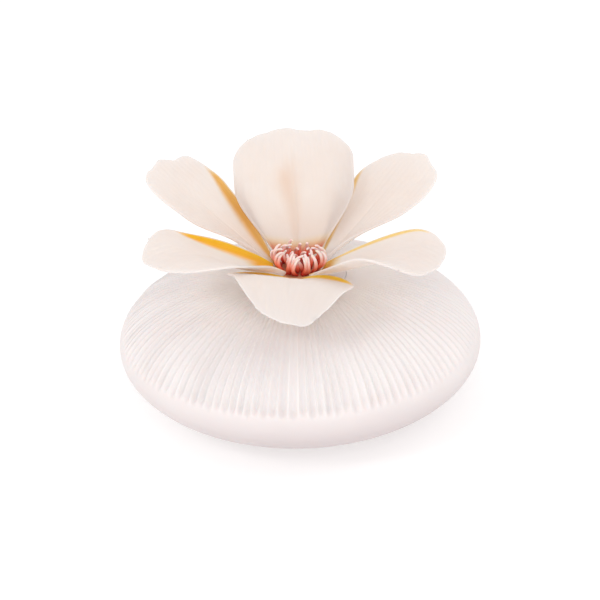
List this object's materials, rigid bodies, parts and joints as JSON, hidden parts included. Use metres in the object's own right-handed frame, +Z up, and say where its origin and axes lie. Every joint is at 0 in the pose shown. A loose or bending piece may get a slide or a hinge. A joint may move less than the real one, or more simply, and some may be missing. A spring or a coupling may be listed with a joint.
{
  "type": "fragrance diffuser",
  "caption": "Low round fluted porcelain flask of scented oil, with a porcelain flower on its stopper; the flower turns, and lifts out with the wick to refill it.",
  "frame": {"origin": "on the table, under the axis of the flask", "axes": "+Z up along the axis of the flask; -Y towards the front petal; +X to its right"},
  "size_m": [0.14, 0.14, 0.0917],
  "materials": {
    "vessel_porcelain": "matt, unglazed",
    "petal_porcelain": "matt, translucent at the edges, shaded ochre along the claws",
    "stamen_porcelain": "matt, coral, paler at the tips",
    "core_porcelain": "matt",
    "seal_rubber": "translucent silicone",
    "wick_cotton": "braided cotton",
    "sleeve_plastic": "moulded",
    "pad_felt": "pressed felt"
  },
  "bodies": {
    "vessel": {"vessel": "vessel_porcelain", "foot_pad_1": "pad_felt", "foot_pad_2": "pad_felt", "foot_pad_3": "pad_felt", "foot_pad_4": "pad_felt"},
    "stopper": {"stopper": "vessel_porcelain", "seal_ring_lower": "seal_rubber", "seal_ring_upper": "seal_rubber", "wick_sleeve": "sleeve_plastic", "wick": "wick_cotton"},
    "flower": {"receptacle": "petal_porcelain", "pistil_core": "core_porcelain", "stamen_outer_01": "stamen_porcelain", "stamen_outer_02": "stamen_porcelain", "stamen_outer_03": "stamen_porcelain", "stamen_outer_04": "stamen_porcelain", "stamen_outer_05": "stamen_porcelain", "stamen_outer_06": "stamen_porcelain", "stamen_outer_07": "stamen_porcelain", "stamen_outer_08": "stamen_porcelain", "stamen_outer_09": "stamen_porcelain", "stamen_outer_10": "stamen_porcelain", "stamen_outer_11": "stamen_porcelain", "stamen_outer_12": "stamen_porcelain", "stamen_outer_13": "stamen_porcelain", "stamen_outer_14": "stamen_porcelain", "stamen_outer_15": "stamen_porcelain", "stamen_outer_16": "stamen_porcelain", "stamen_outer_17": "stamen_porcelain", "stamen_outer_18": "stamen_porcelain", "stamen_outer_19": "stamen_porcelain", "stamen_outer_20": "stamen_porcelain", "stamen_outer_21": "stamen_porcelain", "stamen_outer_22": "stamen_porcelain", "stamen_outer_23": "stamen_porcelain", "stamen_outer_24": "stamen_porcelain", "stamen_outer_25": "stamen_porcelain", "stamen_outer_26": "stamen_porcelain", "stamen_outer_27": "stamen_porcelain", "stamen_outer_28": "stamen_porcelain", "stamen_inner_01": "stamen_porcelain", "stamen_inner_02": "stamen_porcelain", "stamen_inner_03": "stamen_porcelain", "stamen_inner_04": "stamen_porcelain", "stamen_inner_05": "stamen_porcelain", "stamen_inner_06": "stamen_porcelain", "stamen_inner_07": "stamen_porcelain", "stamen_inner_08": "stamen_porcelain", "stamen_inner_09": "stamen_porcelain", "stamen_inner_10": "stamen_porcelain", "stamen_inner_11": "stamen_porcelain", "stamen_inner_12": "stamen_porcelain", "petal_back": "petal_porcelain", "petal_back_left": "petal_porcelain", "petal_back_right": "petal_porcelain", "petal_left": "petal_porcelain", "petal_right": "petal_porcelain", "petal_front": "petal_porcelain"}
  },
  "joints": [
    {"name": "stopper_lift", "type": "slide", "parent": "vessel", "child": "stopper", "axis": [0, 0, 1], "range_m": [0, 0.055]},
    {"name": "flower_turn", "type": "hinge", "parent": "stopper", "child": "flower", "pos_m": [0, 0, 0.0532], "axis": [0, 0, 1], "continuous": true}
  ]
}
